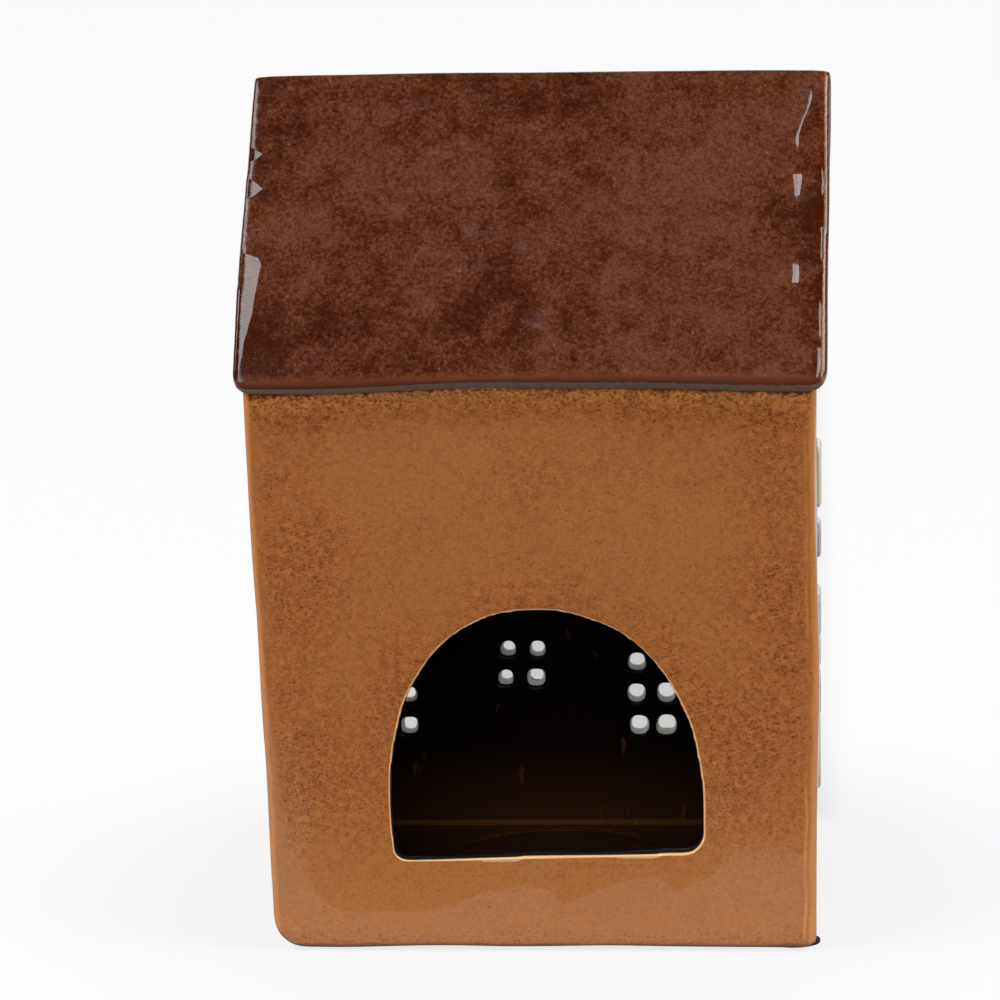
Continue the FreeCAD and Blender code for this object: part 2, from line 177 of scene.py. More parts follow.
class GlazeColours(bpy.types.PropertyGroup):
    """The glazes, from the photograph"""
    mustard: colour("Mustard", "Calm areas of the walls", "#A0663A")
    mustard_red: colour("Mustard, red", "Crazed areas of the walls", "#9C5E32")
    amber: colour("Amber", "Where the wall glaze has pooled, low on the wall", "#A06535")
    # Pit brown also paints the shade along the joint under the eave
    pit_brown_and_shade: colour("Pit brown", "Pits and hairlines in the wall glaze", "#5A2207")
    # Edge tan is also the painted highlight down the corners and the painted light under the eave
    edge_tan_and_light: colour("Edge tan", "Where the wall glaze breaks over a corner", "#C57F42")
    rim_peach: colour("Rim", "Where the glaze breaks over the arch's rim", "#F0BE86")
    # The inside colour is painted shade: near-black on the room's faces and in the recesses of the walls
    inside: colour("Inside", "Black-brown glaze of the inside", "#0B0302")
    chocolate: colour("Chocolate", "Middle tone of the roof", "#5A2E1B")
    chocolate_red: colour("Chocolate, red", "Dark patches of the roof", "#371205")
    chocolate_tan: colour("Chocolate, tan", "Where the roof glaze runs thin", "#7C4424")
    chocolate_milky: colour("Chocolate, milky", "Pale patches of the roof", "#69402F")
    chocolate_pale: colour("Chocolate, pale", "Specks in the roof glaze", "#A08C88")
    bare_clay: colour("Bare clay", "The unglazed cut of the eave", "#786254")
    cream: colour("Cream", "The frames and the door's surround", "#D8CCB2")
    door_brown: colour("Door", "The door leaf", "#4A2315")
    pane_white: colour("Pane", "The reveals of the panes", "#D6D4D0")
    pad_black: colour("Pad", "The pads under the foot", "#0B0B0C")
    paper: colour("Paper", "The sheet that the house stands on", "#DADADA")
    table: colour("Table", "The table beyond the sheet, seen in the glaze alone", "#1E1E1E")
    table_near: colour("Table near the sheet", "The table where the sheet throws light on it", "#787674")


class StageSettings(bpy.types.PropertyGroup):
    """The floor, the lamps and the camera"""
    floor_size: length("Floor size", "Side of the floor", 8000)
    horizon: number("Horizon", "Strength of the room's light from the sides", 1.5)
    ceiling: number("Ceiling", "Strength of the room's light from above", 0.04)
    left_lamp: number("Left lamp", "Power of the left lamp in watts", 15.0)
    right_lamp: number("Right lamp", "Power of the right lamp in watts", 13.0)
    front_lamp: number("Front lamp", "Power of the front lamp in watts", 20.0)
    lens: number("Lens", "Focal length in millimetres", 163.57)
    camera_place: bpy.props.FloatVectorProperty(name="Camera", description="Place of the camera",
                                                subtype="TRANSLATION", unit="LENGTH",
                                                default=(0.06187, -1.05956, 0.3438))
    azimuth: angle("Azimuth", "How far the camera is turned", 3.939)
    elevation: angle("Elevation", "How far the camera looks down", 13.0)
    roll: angle("Roll", "How far the camera is tilted", -1.179)


# The arch's sill corners and then the points of its crown: a share of half its width from its middle, a share
# of its rise above the sill
ARCH_SHARES = (
    (1, 0), (-0.98, 0),
    (-1.0, 0.213), (-0.964, 0.487), (-0.835, 0.710), (-0.495, 0.929), (-0.052, 1.0),
    (0.321, 0.952), (0.610, 0.838), (0.885, 0.584), (0.968, 0.394), (1.0, 0.213))
OUTLINE_STEP = 0.3 * MM

# How each pad was squeezed as it was stuck on: a share of its depth, and how far it slid towards the street
PAD_PRESS = {"back_left_pad": (1.0, 0), "back_right_pad": (0.74, 1.4 * MM),
             "front_left_pad": (1.0, 0), "front_right_pad": (1.0, 0)}
PAD_EDGE = 0.2 * MM

# How often walls and roof are sponged all over, and for the stones and the finer relief the size of the cells
# as a share of the relief's grain, and how often they are sponged
WALL_ROUNDS = 5
ROOF_ROUNDS = 2
STONE_SKIN = (1.4, 8)
RELIEF_SKIN = (0.8, 2)

# How far lattices pull the clay: the walls' points along x by (column, layer), the eave's from left to right
# and the middle of the ridge along z, both as shares of the eave's bow
WALL_PULLS = {(0, 4): -1.0 * MM, (0, 3): -0.9 * MM, (2, 4): -0.7 * MM, (2, 2): 0.5 * MM}
EAVE_PULLS = (-0.3, 0.2, 0.75, 0.5, -0.35)
RIDGE_PULL = 0.3

# How wide the flat that was pressed into the left verge is: heights in mm, and widths in mm
PRESSED_FLAT = (
    (137, 1.4), (140, 1.9), (146, 2.7), (152, 4.0), (158, 5.0), (161.8, 5.5), (163.2, 4.6), (164.2, 1.2),
    (168, 0.8), (173, 0.3), (175.2, 0.3), (176, 2.2), (177.6, 4.4), (179, 2.6), (180, 0.4), (183, 0.3),
    (184, 2.6), (185, 3.8), (186.2, 1.0), (187, 0.3), (200, 0.3))

# The thin runs of glaze beside the right verge that catch the light: heights in mm, and half widths in mm
NEAR_RUN = (
    (137, 0), (138, 0.4), (144, 0.4), (144.6, 0), (145.8, 0), (146.5, 0.35), (153, 0.35), (153.7, 0),
    (161.5, 0), (162.5, 0.4), (168.5, 0.35), (169.2, 0), (175, 0), (176, 0.35), (180, 0.3), (181, 0), (200, 0))
FAR_RUN = (
    (137, 0), (156.5, 0), (157.2, 0.8), (161, 0.7), (161.8, 0), (174.5, 0), (175.2, 0.6), (179.6, 1.0),
    (180.3, 0), (185, 0), (186, 0.35), (196, 0.35), (197.5, 0), (200, 0))

# Front edge of the white sheet, which the lower wall mirrors: places in mm, and distances from the wall in mm
SHEET_EDGE = (
    (-90, 160), (-84, 150), (-67, 80), (-63, 61), (-56, 42), (-49, 33), (-30, 32), (-23, 38), (-15, 45.5),
    (-8.6, 49.8), (-1.4, 48.4), (0.7, 43.6), (2.5, 34.5), (7, 38.8), (11, 41.2), (17.9, 46.5), (21.6, 49.2),
    (24.2, 53), (26.4, 52), (28.1, 43), (32.4, 51), (37.6, 59), (43.3, 74), (47.2, 79), (51.2, 86), (70, 86))

# The windows, and how their panes and the door's are set out: columns, rows, spacing in x, spacing in z
WINDOWS = ("ground_left", "ground_right", "upper_left", "upper_right")
WINDOW_PANES = (2, 3, 7.4 * MM, 8.3 * MM)
DOOR_PANES = (2, 2, 7.5 * MM, 7.3 * MM)
DOOR_PANE_HEIGHT = 47.3 * MM

# How much panes cut by hand differ: in place along x and z in mm, in side, and in how they taper upwards
PANE_SLIP_X = 0.4
PANE_SLIP_Z = 0.25
PANE_SIDES = (0.92, 1.12)
PANE_TAPER = 0.25

# Depths in mm: where the room's painted shade begins in the walls, how high the bare cut reaches on the roof, and
# how deep the bare underside lies
ROOM_DEPTH = 2.5
BARE_CUT = 1.6
BARE_DEPTH = 4.0

# Where each bed of the corner stones begins, as a share of the stones' height in mm, and its tone
STONES_HEIGHT = 110
STONE_BEDS = ((0.0, "#A9A296"), (0.08, "#CFC4AC"), (0.316, "#A7A39C"), (0.415, "#C6BFB2"), (0.495, "#BAB9B2"),
              (0.65, "#AFA7AE"), (0.78, "#D3C8B0"))

# The lamps: side, place, width and height in metres, and the point that they look at
LAMPS = (("left", (-0.95, -0.45, 1.05), 1.0, 0.9), ("right", (1.05, -0.30, 0.95), 0.7, 0.9),
         ("front", (0, -1.9, 0.75), 1.2, 0.7))
LAMP_TARGET = (0, 0, 0.12)


# Modelling by hand

def deselect():
    bpy.ops.object.select_all(action="DESELECT")


def pick(*objects):
    """Selects these objects alone and makes the last one active."""
    deselect()
    for obj in objects:
        obj.select_set(True)
    bpy.context.view_layer.objects.active = objects[-1]


def near(value, target):
    return abs(value - target) < 0.05 * MM


def place_of(mesh, part):
    """Middle of a vertex, an edge or a face."""
    if hasattr(part, "co"):
        return part.co.copy()
    corners = [mesh.vertices[i].co for i in part.vertices]
    return sum(corners, Vector()) / len(corners)


def choose(obj, kind, test=lambda place, part: True, **at):
    """Goes into edit mode with the vertices, edges or faces selected that lie at x, y or z and pass the test."""
    pick(obj)
    bpy.ops.object.mode_set(mode="EDIT")
    bpy.ops.mesh.select_mode(type=kind)
    bpy.ops.mesh.select_all(action="DESELECT")
    bpy.ops.object.mode_set(mode="OBJECT")
    mesh = obj.data
    for part in {"VERT": mesh.vertices, "EDGE": mesh.edges, "FACE": mesh.polygons}[kind]:
        place = place_of(mesh, part)
        part.select = all(near(getattr(place, axis), value) for axis, value in at.items()) and test(place, part)
    bpy.ops.object.mode_set(mode="EDIT")


def done():
    bpy.ops.object.mode_set(mode="OBJECT")


def along(mesh, edge, axis):
    """Whether an edge runs nearly along x (0), y (1) or z (2)."""
    start, end = [mesh.vertices[i].co for i in edge.vertices]
    run = end - start
    return abs(run[axis]) > 0.95 * run.length


def named(name):
    """The object that an operator has just made, renamed along with its data."""
    obj = bpy.context.object
    obj.name = obj.data.name = name
    return obj


def add_block(name, low, high):
    """A cube primitive added at its size and place, with its place in its mesh."""
    deselect()
    low, high = Vector(low), Vector(high)
    bpy.ops.mesh.primitive_cube_add(size=1, location=(low + high) / 2, scale=high - low)
    bpy.ops.object.transform_apply(location=True, rotation=True, scale=True)
    return named(name)


def copy_of(obj, name):
    """A copy with its own mesh."""
    twin = obj.copy()
    twin.data = obj.data.copy()
    twin.name = twin.data.name = name
    bpy.context.collection.objects.link(twin)
    return twin


def remove(*objects):
    for obj in objects:
        bpy.data.objects.remove(obj)


def finish_with(obj, kind, **settings):
    """Adds a modifier with its settings and applies it."""
    pick(obj)
    modifier = obj.modifiers.new(kind.title(), kind)
    for name, value in settings.items():
        setattr(modifier, name, value)
    bpy.ops.object.modifier_apply(modifier=modifier.name)


def soften(obj, grain, rounds):
    """Turns hard edges into those of sponged clay under glaze: one even skin, then smoothed."""
    finish_with(obj, "REMESH", mode="VOXEL", voxel_size=grain, adaptivity=0)
    finish_with(obj, "SMOOTH", factor=0.5, iterations=rounds)


def swell(obj, height, size):
    """The slow swells of a hand-rolled slab."""
    clouds = bpy.data.textures.new("slab swell", "CLOUDS")
    clouds.noise_scale = size
    clouds.noise_depth = 0
    finish_with(obj, "DISPLACE", texture=clouds, texture_coords="GLOBAL", strength=height, mid_level=0.5)
    bpy.data.textures.remove(clouds)


def bend_by_hand(obj, low, high, levels, moves):
    """Pushes a shape about through a lattice. moves gives (column, row, layer) -> (x, y, z)."""
    pick(obj)
    low, high = Vector(low), Vector(high)
    bpy.ops.object.add(type="LATTICE", location=(low + high) / 2)
    lattice = bpy.context.object
    lattice.scale = high - low
    lattice.data.points_u, lattice.data.points_v, lattice.data.points_w = levels
    count_u, count_v, _ = levels
    for (u, v, w), move in moves.items():
        point = lattice.data.points[u + v * count_u + w * count_u * count_v]
        for axis in range(3):
            point.co_deform[axis] += move[axis] / lattice.scale[axis]
    bpy.context.view_layer.update()
    finish_with(obj, "LATTICE", object=lattice)
    remove(lattice)


def keep_side(obj, name, planes):
    """A copy of obj cut down by planes, each given as (point, normal), to the side the normal looks away from."""
    piece = copy_of(obj, name)
    for point, normal in planes:
        choose(piece, "FACE")
        bpy.ops.mesh.bisect(plane_co=point, plane_no=normal, use_fill=True, clear_outer=True)
        done()
    # Where old vertices lie beside the plane, the fill doubles the slivers between: one of each pair goes
    piece.data.validate()
    return piece


def smooth_skin(obj):
    pick(obj)
    bpy.ops.object.shade_smooth_by_angle(angle=SMOOTH_UP_TO)


def glaze(obj, material):
    obj.data.materials.clear()
    obj.data.materials.append(material)


def hand_over(obj, material, node):
    """Gives a finished piece its glaze and its body, and hides the CAD node that it stands for."""
    glaze(obj, material)
    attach(obj, "root")
    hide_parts(node)


# Walls

def wall_lines(sizes, inset):
    """The left and right face of the house at its foot, its shoulder and its ridge."""
    return ((FOOT_Z, sizes.foot_left + inset, sizes.foot_right - inset),
            (sizes.shoulder, sizes.shoulder_left + inset, sizes.shoulder_right - inset),
            (GABLE_TOP_Z, sizes.ridge_left + inset, sizes.ridge_right - inset))


def leaning_block(name, sizes, inset):
    """A block from the foot to the ridge whose sides follow the leaning walls."""
    foot, shoulder, ridge = wall_lines(sizes, inset)
    block = add_block(name, (-1, BACK_Y + inset, foot[0]), (1, FRONT_Y - inset, shoulder[0]))
    choose(block, "FACE", z=shoulder[0])
    bpy.ops.mesh.extrude_region_move(TRANSFORM_OT_translate={"value": (0, 0, ridge[0] - shoulder[0])})
    done()
    for height, left_x, right_x in (foot, shoulder, ridge):
        for side, x in ((LEFT, left_x), (RIGHT, right_x)):
            choose(block, "VERT", x=side, z=height)
            bpy.ops.transform.translate(value=(x - side, 0, 0))
            done()
    return block


def house_form(sizes):
    """The solid outer form of the house under its roof, with its corners rounded."""
    form = leaning_block("walls", sizes, 0)
    choose(form, "VERT", z=GABLE_TOP_Z)
    bpy.ops.transform.resize(value=(1, 0, 1), center_override=(0, 0, GABLE_TOP_Z))
    bpy.ops.mesh.remove_doubles(threshold=0.1 * MM)
    done()
    for x, radius in ((sizes.foot_left, sizes.foot_left_radius), (sizes.foot_right, sizes.foot_right_radius)):
        choose(form, "EDGE", lambda place, part: along(form.data, part, 1), x=x, z=FOOT_Z)
        bpy.ops.mesh.bevel(offset=radius, segments=8, affect="EDGES")
        done()
    choose(form, "EDGE", lambda place, part: near(abs(place.y), FRONT_Y) and place.z < sizes.shoulder
           and not along(form.data, part, 1))
    bpy.ops.mesh.bevel(offset=sizes.edge_radius, segments=4, affect="EDGES")
    done()
    return form


def arch_cutter(sizes):
    """The arch as one drawn curve, filled and pushed through the back wall."""
    y = BACK_Y - WALL_THICKNESS

    def place(share_x, share_z):
        x = sizes.arch_middle + share_x * sizes.arch_width / 2
        slant = sizes.sill_end_rise * (1 - share_z) * (share_x + 1) / 2
        return Vector((x, y, sizes.sill + share_z * sizes.arch_rise + slant))

    deselect()
    bpy.ops.curve.primitive_bezier_curve_add(location=(0, 0, 0))
    outline = bpy.context.object
    points = [place(*shares) for shares in ARCH_SHARES]
    spline = outline.data.splines[0]
    spline.bezier_points.add(len(points) - len(spline.bezier_points))
    # Straight between the two corners of the sill and up to where the crown springs, round from there
    last = len(points) - 1
    for index, (point, co) in enumerate(zip(spline.bezier_points, points)):
        point.co = co
        point.handle_left_type = "VECTOR" if index <= 2 else "AUTO"
        point.handle_right_type = "VECTOR" if index <= 1 or index == last else "AUTO"
    spline.use_cyclic_u = True
    spline.resolution_u = 10
    outline.data.dimensions = "3D"
    pick(outline)
    bpy.ops.object.convert(target="MESH")
    cutter = named("arch cutter")
    for corner, radius in zip(points[:2], (sizes.sill_right_radius, sizes.sill_left_radius)):
        choose(cutter, "VERT", lambda place, part: (place - corner).length < 0.1 * MM)
        bpy.ops.mesh.bevel(offset=radius, offset_type="OFFSET", segments=6, affect="VERTICES")
        done()
    choose(cutter, "EDGE")
    bpy.ops.mesh.remove_doubles(threshold=0.01 * MM)
    bpy.ops.mesh.select_all(action="SELECT")
    bpy.ops.mesh.edge_face_add()
    bpy.ops.mesh.extrude_region_move(TRANSFORM_OT_translate={"value": (0, WALL_THICKNESS * 3, 0)})
    bpy.ops.mesh.select_all(action="SELECT")
    bpy.ops.mesh.normals_make_consistent(inside=False)
    done()
    return cutter


def pane_places():
    """Middle of every pane and its side, with the small differences of panes cut by hand."""
    hand = random.Random(183403)
    trim = bpy.context.scene.trim_sizes
    for name in (*WINDOWS, "front_door"):
        at_door = name == "front_door"
        low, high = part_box(name if at_door else name + "_window_frame")
        middle = (low + high) / 2
        if at_door:
            middle.z = DOOR_PANE_HEIGHT
        columns, rows, step_x, step_z = DOOR_PANES if at_door else WINDOW_PANES
        side = trim.door_pane if at_door else trim.pane
        for column in range(columns):
            for row in range(rows):
                x = middle.x + (column - (columns - 1) / 2) * step_x + hand.uniform(-PANE_SLIP_X, PANE_SLIP_X) * MM
                z = middle.z + (row - (rows - 1) / 2) * step_z + hand.uniform(-PANE_SLIP_Z, PANE_SLIP_Z) * MM
                yield Vector((x, 0, z)), side * hand.uniform(*PANE_SIDES), hand.uniform(-PANE_TAPER, PANE_TAPER)


def pane_cutters():
    """One hand-cut square with rounded corners, copied to the place of every pane."""
    trim = bpy.context.scene.trim_sizes
    first = add_block("pane cutter", (-0.5, INNER_FRONT_Y - 3 * MM, -0.5), (0.5, FRONT_Y + 6 * MM, 0.5))
    choose(first, "EDGE", lambda place, part: along(first.data, part, 1))
    bpy.ops.mesh.bevel(offset=trim.pane_corner / trim.pane, segments=3, affect="EDGES")
    done()
    cutters = []
    for middle, side, taper in pane_places():
        cutter = copy_of(first, "pane cutter")
        for vertex in cutter.data.vertices:
            depth = (vertex.co.y - INNER_FRONT_Y) / WALL_THICKNESS
            spread = side * (1 - trim.pane_narrowing * depth)
            vertex.co.x = middle.x + vertex.co.x * spread * (1 + taper * vertex.co.z)
            vertex.co.z = middle.z + vertex.co.z * spread
        cutters.append(cutter)
    remove(first)
    pick(*cutters)
    bpy.ops.object.join()
    return named("pane cutters")


def note(obj, **measures):
    """Stores lengths in millimetres on each vertex, for the glazes to follow the form."""
    for name, measure in measures.items():
        attribute = obj.data.attributes.new(name + "_mm", "FLOAT", "POINT")
        attribute.data.foreach_set("value", [measure(vertex.co) / MM for vertex in obj.data.vertices])


def noted(obj, name):
    """The lengths in millimetres that note stored under this name."""
    return [entry.value for entry in obj.data.attributes[name + "_mm"].data]


def from_ends(place, low, high):
    """How far a place lies in from the left and right edge, each of which runs straight between two heights."""
    share = (place.z - low[0]) / (high[0] - low[0])
    left = low[1] + (high[1] - low[1]) * share
    right = low[2] + (high[2] - low[2]) * share
    return min(place.x - left, right - place.x)


def note_walls(shell, sizes, arch):
    """Stores how far each vertex lies outside the arch, from the gables, under the eave and in the clay."""
    rim_y = arch.data.vertices[0].co.y
    corners = {v.index: v.co for v in arch.data.vertices if near(v.co.y, rim_y)}
    middle = Vector((sizes.arch_middle, rim_y, sizes.sill + sizes.arch_rise / 2))
    outline = []
    for edge in arch.data.edges:
        if all(i in corners for i in edge.vertices):
            start, end = [corners[i] for i in edge.vertices]
            outward = (end - start).cross(Vector((0, 1, 0))).normalized()
            if outward.dot(start - middle) < 0:
                outward.negate()
            steps = max(1, int((end - start).length / OUTLINE_STEP))
            outline += [(start.lerp(end, step / steps), outward) for step in range(steps)]
    tree = kdtree.KDTree(len(outline))
    for index, (point, _) in enumerate(outline):
        tree.insert((point.x, 0, point.z), index)
    tree.balance()

    def outside_arch(place):
        _, index, _ = tree.find((place.x, 0, place.z))
        point, outward = outline[index]
        return (place - point).dot(outward)

    foot, shoulder, ridge = wall_lines(sizes, 0)
    roof = bpy.context.scene.roof_sizes
    half_eave = (roof.eave_right - roof.eave_left) / 2
    pitch = (roof.apex - roof.eave) / ROOF_FRONT_Y

    def from_gable(place):
        return from_ends(place, foot, shoulder) if place.z < shoulder[0] else from_ends(place, shoulder, ridge)

    def under_eave(place):
        # The slab covers the last millimetre of the wall, and bows up between its ends
        bow = roof.eave_bow * (1 - (place.x / half_eave) ** 2 - 0.4)
        rise = (FRONT_Y - abs(place.y)) * pitch
        return sizes.shoulder - MM + bow + rise - place.z

    def in_clay(place):
        return min(place.y - BACK_Y, FRONT_Y - place.y, from_gable(place))

    note(shell, arch=outside_arch, gable=from_gable, eave=under_eave, deep=in_clay,
         front=lambda place: FRONT_Y - place.y)


def shade_room(piece, material):
    """Gives the faces that lie well inside the walls the room's glaze, near-black as painted shade."""
    depths = noted(piece, "deep")
    piece.data.materials.append(material)
    for face in piece.data.polygons:
        face.material_index = int(all(depths[i] > ROOM_DEPTH for i in face.vertices))


class TEALIGHT_OT_walls(bpy.types.Operator):
    """Model the four walls as one softened clay shell, cut the arch and panes, and part it into slabs"""
    bl_idname = "tealight.walls"
    bl_label = "Walls"

    def execute(self, context):
        sizes = context.scene.wall_sizes
        shell = house_form(sizes)
        room = leaning_block("room", sizes, WALL_THICKNESS)
        choose(room, "FACE", z=FOOT_Z)
        bpy.ops.transform.translate(value=(0, 0, -WALL_THICKNESS))
        done()
        arch = arch_cutter(sizes)
        panes = pane_cutters()
        for cutter in (room, arch, panes):
            finish_with(shell, "BOOLEAN", operation="DIFFERENCE", object=cutter, solver="EXACT")
        soften(shell, sizes.clay_grain, WALL_ROUNDS)
        note_walls(shell, sizes, arch)
        swell(shell, sizes.swell, sizes.swell_size)
        moves = {(u, v, w): (pull, 0, 0) for (u, w), pull in WALL_PULLS.items() for v in (0, 1)}
        bend_by_hand(shell, (sizes.shoulder_left, BACK_Y, FOOT_Z), (sizes.shoulder_right, FRONT_Y, GABLE_TOP_Z),
                     (3, 2, 7), moves)
        material = mustard_glaze()
        # The room's faces are painted near-black, as painted shade
        room_shade = room_shade_glaze()
        # The cuts lie just inside the room, clear of the swelling inner faces of the long walls
        back_seam = (0, INNER_BACK_Y + sizes.swell, 0)
        front_seam = (0, INNER_FRONT_Y - sizes.swell, 0)
        between = [(back_seam, (0, -1, 0)), (front_seam, (0, 1, 0))]
        parts = {"back_wall": [(back_seam, (0, 1, 0))], "front_wall": [(front_seam, (0, -1, 0))],
                 "left_gable_wall": between + [((0, 0, 0), (1, 0, 0))],
                 "right_gable_wall": between + [((0, 0, 0), (-1, 0, 0))]}
        for node, planes in parts.items():
            piece = keep_side(shell, "glazed_" + node, planes)
            smooth_skin(piece)
            hand_over(piece, material, node)
            shade_room(piece, room_shade)
        remove(shell, room, arch, panes)
        return {"FINISHED"}


# Roof

def roof_sheet(sizes):
    """The outer faces of both slopes as one sheet, folded at the ridge, with round corners at the eaves."""
    deselect()
    bpy.ops.mesh.primitive_grid_add(x_subdivisions=1, y_subdivisions=2, size=2)
    sheet = named("roof")
    eave = (sizes.eave_left, sizes.eave_right, sizes.eave)
    ridge = (sizes.ridge_left, sizes.ridge_right, sizes.apex)
    for row, (left_x, right_x, z), y in ((-1, eave, ROOF_BACK_Y), (0, ridge, 0), (1, eave, ROOF_FRONT_Y)):
        for side, x in ((LEFT, left_x), (RIGHT, right_x)):
            choose(sheet, "VERT", x=side, y=row)
            bpy.ops.transform.translate(value=(x - side, y - row, z))
            done()
    choose(sheet, "VERT", z=sizes.eave)
    bpy.ops.mesh.bevel(offset=sizes.corner_radius, segments=5, affect="VERTICES")
    done()
    return sheet


def note_roof(slab, sizes):
    """Stores how far each vertex lies from the verges, from the cut of the eave and under the outer face."""
    pitch = math.atan2(sizes.apex - sizes.eave, ROOF_FRONT_Y)

    def from_verge(place):
        return from_ends(place, (sizes.eave, sizes.eave_left, sizes.eave_right),
                         (sizes.apex, sizes.ridge_left, sizes.ridge_right))

    def from_eave(place):
        return (ROOF_FRONT_Y - abs(place.y)) * math.cos(pitch) + (place.z - sizes.eave) * math.sin(pitch)

    def under_face(place):
        return (sizes.apex - place.z) * math.cos(pitch) - abs(place.y) * math.sin(pitch)

    note(slab, verge=from_verge, eave=from_eave, deep=under_face)


def sponge_verge(slab, side, sizes, rounds):
    """Rolls one verge over by smoothing it, more the nearer it lies to the edge."""
    group = slab.vertex_groups.new(name="verge")
    for vertex, distance in zip(slab.data.vertices, noted(slab, "verge")):
        share = 1 - distance * MM / sizes.sponge
        if vertex.co.x * side > 0 and share > 0:
            group.add([vertex.index], min(share * 2, 1), "REPLACE")
    finish_with(slab, "SMOOTH", factor=0.5, iterations=rounds, vertex_group=group.name)
    slab.vertex_groups.remove(slab.vertex_groups["verge"])


def bare_eave(piece, material):
    """Leaves the eave's cut and the underside of a roof slab unglazed."""
    eaves, depths = noted(piece, "eave"), noted(piece, "deep")
    piece.data.materials.append(material)
    for face in piece.data.polygons:
        cut = all(eaves[i] < BARE_CUT for i in face.vertices)
        under = all(depths[i] > BARE_DEPTH for i in face.vertices)
        face.material_index = int(cut or under)


class TEALIGHT_OT_roof(bpy.types.Operator):
    """Model the roof as one folded slab with rolled verges and a bowed eave, and part it at the ridge"""
    bl_idname = "tealight.roof"
    bl_label = "Roof"

    def execute(self, context):
        sizes = context.scene.roof_sizes
        walls = context.scene.wall_sizes
        slab = roof_sheet(sizes)
        finish_with(slab, "SOLIDIFY", thickness=sizes.thickness, offset=-1, use_even_offset=True)
        choose(slab, "EDGE", y=0, z=sizes.apex)
        bpy.ops.mesh.bevel(offset=sizes.ridge_radius, segments=6, affect="EDGES")
        done()
        finish_with(slab, "BEVEL", width=sizes.edge_roll, segments=3, limit_method="ANGLE", angle_limit=SHARP)
        soften(slab, walls.clay_grain, ROOF_ROUNDS)
        note_roof(slab, sizes)
        sponge_verge(slab, LEFT, sizes, sizes.left_roll)
        sponge_verge(slab, RIGHT, sizes, sizes.right_roll)
        swell(slab, walls.swell, walls.swell_size)
        moves = {(u, v, 0): (0, 0, pull * sizes.eave_bow) for u, pull in enumerate(EAVE_PULLS) for v in (0, 2)}
        for v in range(3):
            moves[(0, v, 1)] = (-sizes.verge_bow, 0, 0)
            moves[(4, v, 1)] = (sizes.verge_bow, 0, 0)
            moves[(2, v, 2)] = (0, 0, RIDGE_PULL * sizes.eave_bow)
        bend_by_hand(slab, (sizes.eave_left, ROOF_BACK_Y, sizes.eave), (sizes.eave_right, ROOF_FRONT_Y, sizes.apex),
                     (5, 3, 3), moves)
        material = chocolate_glaze()
        clay = bare_eave_clay()
        for node, normal in (("back_roof_slope", (0, 1, 0)), ("front_roof_slope", (0, -1, 0))):
            piece = keep_side(slab, "glazed_" + node, [((0, 0, 0), normal)])
            smooth_skin(piece)
            hand_over(piece, material, node)
            bare_eave(piece, clay)
        remove(slab)
        return {"FINISHED"}


# Floor, street front and pads

class TEALIGHT_OT_floor(bpy.types.Operator):
    """Paint the floor and its candle seat near-black, as painted shade"""
    bl_idname = "tealight.floor"
    bl_label = "Floor"

    def execute(self, context):
        glaze(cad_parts["floor_slab"], floor_shade_glaze())
        return {"FINISHED"}


class TEALIGHT_OT_street_front(bpy.types.Operator):
    """Soften and glaze the door, the windows and the corner stones of the street front"""
    bl_idname = "tealight.street_front"
    bl_label = "Street front"

    def execute(self, context):
        grain = context.scene.trim_sizes.clay_grain
        cream, stones, door = cream_glaze(), stone_glaze(), door_glaze()
        finishes = {"door_surround": cream, "door_knob": cream, "front_door": door, "doorstep": stones,
                    "left_corner_stones": stones, "right_corner_stones": stones}
        for window in WINDOWS:
            finishes[window + "_window_frame"] = finishes[window + "_window_sill"] = cream
        for node, material in finishes.items():
            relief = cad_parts[node]
            cells, rounds = STONE_SKIN if "stones" in node else RELIEF_SKIN
            glaze(relief, material)
            weld = relief.modifiers.new("Weld", "WELD")
            weld.merge_threshold = 0.001 * MM
            skin = relief.modifiers.new("Skin", "REMESH")
            skin.mode = "VOXEL"
            skin.voxel_size = grain * cells
            skin.use_smooth_shade = True
            relief.modifiers.new("Smooth", "SMOOTH").iterations = rounds
        return {"FINISHED"}


class TEALIGHT_OT_pads(bpy.types.Operator):
    """Model the four soft pads under the foot"""
    bl_idname = "tealight.pads"
    bl_label = "Pads"

    def execute(self, context):
        rubber = pad_rubber()
        for name, (deep_share, shift) in PAD_PRESS.items():
            low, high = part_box(name)
            middle, size = (low + high) / 2, high - low
            deselect()
            bpy.ops.mesh.primitive_cylinder_add(vertices=64, radius=size.x / 2, depth=size.z,
                                                location=(middle.x, middle.y + shift, middle.z))
            pad = named("stuck_" + name)
            pad.scale.y = deep_share
            bpy.ops.object.transform_apply(location=True, rotation=True, scale=True)
            finish_with(pad, "BEVEL", width=PAD_EDGE, segments=3, limit_method="ANGLE", angle_limit=SHARP)
            smooth_skin(pad)
            hand_over(pad, rubber, name)
        return {"FINISHED"}


# Materials

# Nodes with the settings that many of them share. The fourth coordinate gives a noise a pattern of its own
SMOOTH = ("MapRange", {"interpolation_type": "SMOOTHSTEP"})
COLOUR = ("Mix", {"data_type": "RGBA"})
TINT = ("Mix", {"data_type": "RGBA", "blend_type": "MULTIPLY"})
NOISE_4D = ("TexNoise", {"noise_dimensions": "4D"})
TIMES, PLUS, MINUS, TIMES_PLUS, SIZE, LARGER, ABOVE, BELOW = (("Math", {"operation": name}) for name in (
    "MULTIPLY", "ADD", "SUBTRACT", "MULTIPLY_ADD", "ABSOLUTE", "MAXIMUM", "GREATER_THAN", "LESS_THAN"))


def fill(socket, value):
    """Links an input to another node's output, or sets it."""
    if isinstance(value, bpy.types.NodeSocket):
        socket.id_data.links.new(value, socket)
    else:
        socket.default_value = value


